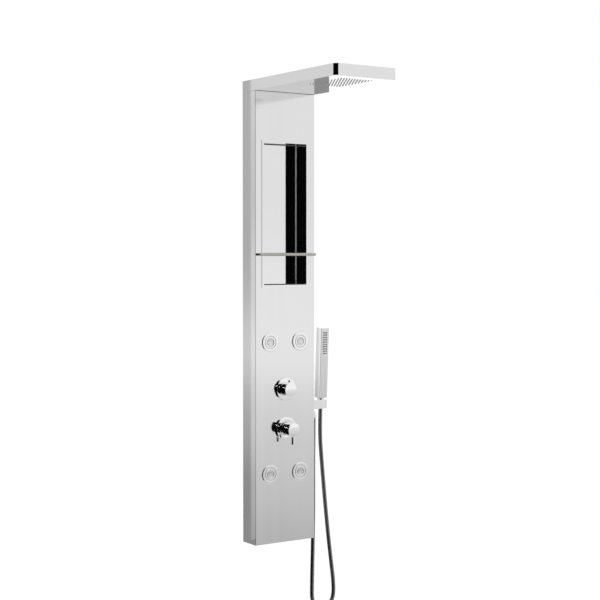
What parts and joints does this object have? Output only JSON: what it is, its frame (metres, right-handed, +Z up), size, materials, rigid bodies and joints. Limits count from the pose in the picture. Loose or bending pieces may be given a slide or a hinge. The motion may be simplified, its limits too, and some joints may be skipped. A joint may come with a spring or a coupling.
{
  "type": "rainfall shower column",
  "caption": "Wall-mounted shower panel with overhead rain arm, recessed niche with rail, swivelling body jets, diverter, lever mixer and a hand shower on a hose.",
  "frame": {"origin": "centre of the four wall bolts, on the wall plane, at half of the column's height", "axes": "+Z up, -Y out of the wall towards the user, +X to the right when facing the column"},
  "size_m": [0.3462, 0.525, 1.759],
  "materials": {
    "satin_steel": "fine satin stainless sheet",
    "polished_steel": "mirror polished stainless",
    "chrome": "bright chrome plate",
    "zinc_steel": "zinc plated",
    "brass": "cast and machined",
    "copper": "drawn copper tube",
    "valve_plastic": "moulded",
    "jet_plastic": "chromed plastic face",
    "soft_rubber": "silicone",
    "grey_plastic": "moulded",
    "black_plastic": "moulded",
    "hose_skin": "wound chromed strip over a rubber tube"
  },
  "bodies": {
    "root": {"arm_cover": "satin_steel", "arm_underside_plate": "satin_steel", "bottom_cap": "satin_steel", "chamber_clamps": "zinc_steel", "column_front": "satin_steel", "column_sides": "satin_steel", "cross_bars": "zinc_steel", "diverter_body": "brass", "diverter_cartridge": "valve_plastic", "diverter_index": "black_plastic", "diverter_ring_nut": "zinc_steel", "diverter_rose": "chrome", "fixing_screws": "zinc_steel", "frame_gussets": "zinc_steel", "frame_tubes": "zinc_steel", "guard_rail": "polished_steel", "hand_pipe": "copper", "handset_holder": "chrome", "head_fascia": "polished_steel", "hose": "hose_skin", "hose_nut_outlet": "chrome", "jet_housings": "chrome", "jet_nuts": "valve_plastic", "jet_washers": "soft_rubber", "lower_jet_pipe": "copper", "mixer_body": "brass", "mixer_cartridge": "valve_plastic", "mixer_dome": "chrome", "mixer_pipe": "copper", "mixer_rose": "chrome", "niche_box": "polished_steel", "nozzle_mat": "soft_rubber", "outlet_elbow": "chrome", "outlet_nut": "satin_steel", "rail_posts": "polished_steel", "rain_chamber": "valve_plastic", "rain_pipe": "copper", "upper_jet_pipe": "copper", "wall_brackets": "zinc_steel"},
    "diverter_knob": {"diverter_knob": "chrome", "diverter_spindle": "brass", "diverter_grub_screw": "zinc_steel"},
    "mixer_carrier": {"mixer_carrier": "brass", "mixer_pivot_pin": "zinc_steel"},
    "mixer_handle": {"mixer_handle": "chrome", "mixer_spindle": "brass", "mixer_grub_screw": "zinc_steel", "lever_pin": "chrome"},
    "handset": {"handset_body": "chrome", "handset_spray_face": "grey_plastic", "handset_nozzles": "soft_rubber", "hose_nut_handset": "chrome"},
    "swivel_upper_left": {"swivel_ring_upper_left": "chrome"},
    "ball_upper_left": {"jet_ball_upper_left": "jet_plastic"},
    "swivel_upper_right": {"swivel_ring_upper_right": "chrome"},
    "ball_upper_right": {"jet_ball_upper_right": "jet_plastic"},
    "swivel_lower_left": {"swivel_ring_lower_left": "chrome"},
    "ball_lower_left": {"jet_ball_lower_left": "jet_plastic"},
    "swivel_lower_right": {"swivel_ring_lower_right": "chrome"},
    "ball_lower_right": {"jet_ball_lower_right": "jet_plastic"}
  },
  "joints": [
    {"name": "diverter_turn", "type": "hinge", "parent": "root", "child": "diverter_knob", "pos_m": [0, -0.098, -0.249], "axis": [0, 1, 0], "range_deg": [0, 270]},
    {"name": "mixer_turn", "type": "hinge", "parent": "root", "child": "mixer_carrier", "pos_m": [0, -0.086, -0.378], "axis": [0, 1, 0], "range_deg": [-45, 45]},
    {"name": "mixer_lift", "type": "hinge", "parent": "mixer_carrier", "child": "mixer_handle", "pos_m": [0, -0.086, -0.378], "axis": [-1, 0, 0], "range_deg": [0, 20]},
    {"name": "handset_lift", "type": "slide", "parent": "root", "child": "handset", "axis": [0, -0.0523, 0.9986], "range_m": [0, 0.034]},
    {"name": "swivel_turn_upper_left", "type": "hinge", "parent": "root", "child": "swivel_upper_left", "pos_m": [-0.058, -0.07, -0.095], "axis": [0, 1, 0], "continuous": true},
    {"name": "jet_tilt_upper_left", "type": "hinge", "parent": "swivel_upper_left", "child": "ball_upper_left", "pos_m": [-0.058, -0.07, -0.095], "axis": [1, 0, 0], "range_deg": [-15, 15]},
    {"name": "swivel_turn_upper_right", "type": "hinge", "parent": "root", "child": "swivel_upper_right", "pos_m": [0.058, -0.07, -0.095], "axis": [0, 1, 0], "continuous": true},
    {"name": "jet_tilt_upper_right", "type": "hinge", "parent": "swivel_upper_right", "child": "ball_upper_right", "pos_m": [0.058, -0.07, -0.095], "axis": [1, 0, 0], "range_deg": [-15, 15]},
    {"name": "swivel_turn_lower_left", "type": "hinge", "parent": "root", "child": "swivel_lower_left", "pos_m": [-0.058, -0.07, -0.524], "axis": [0, 1, 0], "continuous": true},
    {"name": "jet_tilt_lower_left", "type": "hinge", "parent": "swivel_lower_left", "child": "ball_lower_left", "pos_m": [-0.058, -0.07, -0.524], "axis": [1, 0, 0], "range_deg": [-15, 15]},
    {"name": "swivel_turn_lower_right", "type": "hinge", "parent": "root", "child": "swivel_lower_right", "pos_m": [0.058, -0.07, -0.524], "axis": [0, 1, 0], "continuous": true},
    {"name": "jet_tilt_lower_right", "type": "hinge", "parent": "swivel_lower_right", "child": "ball_lower_right", "pos_m": [0.058, -0.07, -0.524], "axis": [1, 0, 0], "range_deg": [-15, 15]}
  ]
}
